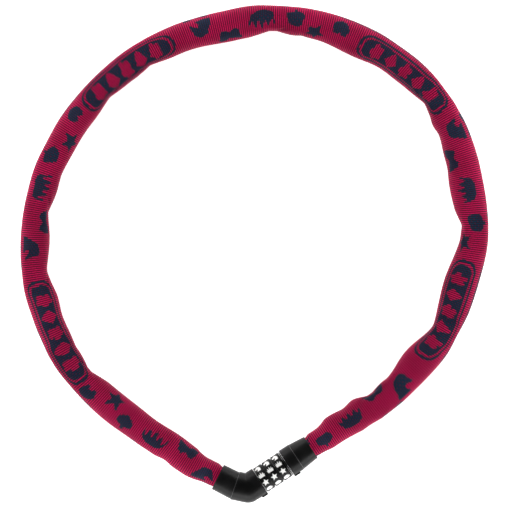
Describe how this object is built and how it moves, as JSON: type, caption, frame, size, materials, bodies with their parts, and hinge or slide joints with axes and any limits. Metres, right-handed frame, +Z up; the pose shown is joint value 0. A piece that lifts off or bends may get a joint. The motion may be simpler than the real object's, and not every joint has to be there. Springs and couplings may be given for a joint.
{
  "type": "combination chain lock",
  "caption": "Chain lock: square-link steel chain in a woven textile sleeve, both ends in a plastic lock body with symbol dials.",
  "frame": {"origin": "centre of the lying ring's bounding box, on the surface it lies on", "axes": "+Z up, out of the ring's plane; +Y from the lock body across the ring; +X to the right, the plug's side"},
  "size_m": [0.252, 0.268, 0.0157],
  "materials": {
    "sleeve_textile": "woven, ribbed, with dark blue woven pictures",
    "body_plastic": "satin, fine grain",
    "dial_plastic": "satin, with white pad-printed symbols",
    "hardened_steel": "zinc plated",
    "steel": "turned",
    "brass": "turned"
  },
  "bodies": {
    "lock_body": {"elbow_housing": "body_plastic", "left_collar": "body_plastic", "left_anchor": "hardened_steel", "left_anchor_pin": "steel", "left_sleeve_clamp": "steel", "slotted_tube": "steel", "tube_pin": "steel", "dial_washers": "dial_plastic", "dial_retainer": "dial_plastic", "click_spring": "steel", "sleeve_0": "sleeve_textile", "chain_links_0": "hardened_steel"},
    "first_dial": {"dial_1": "dial_plastic", "code_ring_1": "brass"},
    "second_dial": {"dial_2": "dial_plastic", "code_ring_2": "brass"},
    "third_dial": {"dial_3": "dial_plastic", "code_ring_3": "brass"},
    "chain_1": {"sleeve_1": "sleeve_textile", "chain_links_1": "hardened_steel"},
    "chain_2": {"sleeve_2": "sleeve_textile", "chain_links_2": "hardened_steel"},
    "chain_3": {"sleeve_3": "sleeve_textile", "chain_links_3": "hardened_steel"},
    "chain_4": {"sleeve_4": "sleeve_textile", "chain_links_4": "hardened_steel"},
    "chain_5": {"sleeve_5": "sleeve_textile", "chain_links_5": "hardened_steel"},
    "chain_6": {"sleeve_6": "sleeve_textile", "chain_links_6": "hardened_steel"},
    "chain_7": {"sleeve_7": "sleeve_textile", "chain_links_7": "hardened_steel"},
    "plug": {"plug_housing": "body_plastic", "locking_pin": "steel", "plug_pin": "steel", "right_collar": "body_plastic", "right_anchor": "hardened_steel", "right_anchor_pin": "steel", "right_sleeve_clamp": "steel", "sleeve_8": "sleeve_textile", "chain_links_8": "hardened_steel"}
  },
  "joints": [
    {"name": "chain_bend_1", "type": "hinge", "parent": "lock_body", "child": "chain_1", "pos_m": [-0.06901, -0.08864, 0.00785], "axis": [0, 0, -1], "range_deg": [0, 12.4]},
    {"name": "chain_bend_2", "type": "hinge", "parent": "chain_1", "child": "chain_2", "pos_m": [-0.11499, -0.02465, 0.00785], "axis": [0, 0, -1], "range_deg": [-2.14, 0]},
    {"name": "chain_bend_3", "type": "hinge", "parent": "chain_2", "child": "chain_3", "pos_m": [-0.10771, 0.05381, 0.00785], "axis": [0, 0, -1], "range_deg": [-9.71, 0]},
    {"name": "chain_bend_4", "type": "hinge", "parent": "chain_3", "child": "chain_4", "pos_m": [-0.05313, 0.11112, 0.00785], "axis": [0, 0, -1], "range_deg": [-8.64, 0]},
    {"name": "chain_bend_5", "type": "hinge", "parent": "chain_4", "child": "chain_5", "pos_m": [0.04043, 0.12286, 0.00785], "axis": [0, 0, -1], "range_deg": [-3.92, 0]},
    {"name": "chain_bend_6", "type": "hinge", "parent": "chain_5", "child": "chain_6", "pos_m": [0.10309, 0.07564, 0.00785], "axis": [0, 0, -1], "range_deg": [0, 3.54]},
    {"name": "chain_bend_7", "type": "hinge", "parent": "chain_6", "child": "chain_7", "pos_m": [0.11733, -0.00194, 0.00785], "axis": [0, 0, -1], "range_deg": [0, 5.09]},
    {"name": "chain_bend_8", "type": "hinge", "parent": "chain_7", "child": "plug", "pos_m": [0.07838, -0.0705, 0.00785], "axis": [0, 0, -1], "range_deg": [0, 3.38]},
    {"name": "dial_1_turn", "type": "hinge", "parent": "lock_body", "child": "first_dial", "pos_m": [0.00978, -0.11748, 0.00785], "axis": [0.8363, 0.5483, 0], "continuous": true, "deforming": ["click_spring"]},
    {"name": "dial_2_turn", "type": "hinge", "parent": "lock_body", "child": "second_dial", "pos_m": [0.00978, -0.11748, 0.00785], "axis": [0.8363, 0.5483, 0], "continuous": true, "deforming": ["click_spring"]},
    {"name": "dial_3_turn", "type": "hinge", "parent": "lock_body", "child": "third_dial", "pos_m": [0.00978, -0.11748, 0.00785], "axis": [0.8363, 0.5483, 0], "continuous": true, "deforming": ["click_spring"]}
  ],
  "couplings": [
    {"joint": "chain_bend_2", "follows": "chain_bend_1", "ratio": -0.172},
    {"joint": "chain_bend_3", "follows": "chain_bend_1", "ratio": -0.783},
    {"joint": "chain_bend_4", "follows": "chain_bend_1", "ratio": -0.696},
    {"joint": "chain_bend_5", "follows": "chain_bend_1", "ratio": -0.316},
    {"joint": "chain_bend_6", "follows": "chain_bend_1", "ratio": 0.285},
    {"joint": "chain_bend_7", "follows": "chain_bend_1", "ratio": 0.41},
    {"joint": "chain_bend_8", "follows": "chain_bend_1", "ratio": 0.272}
  ]
}
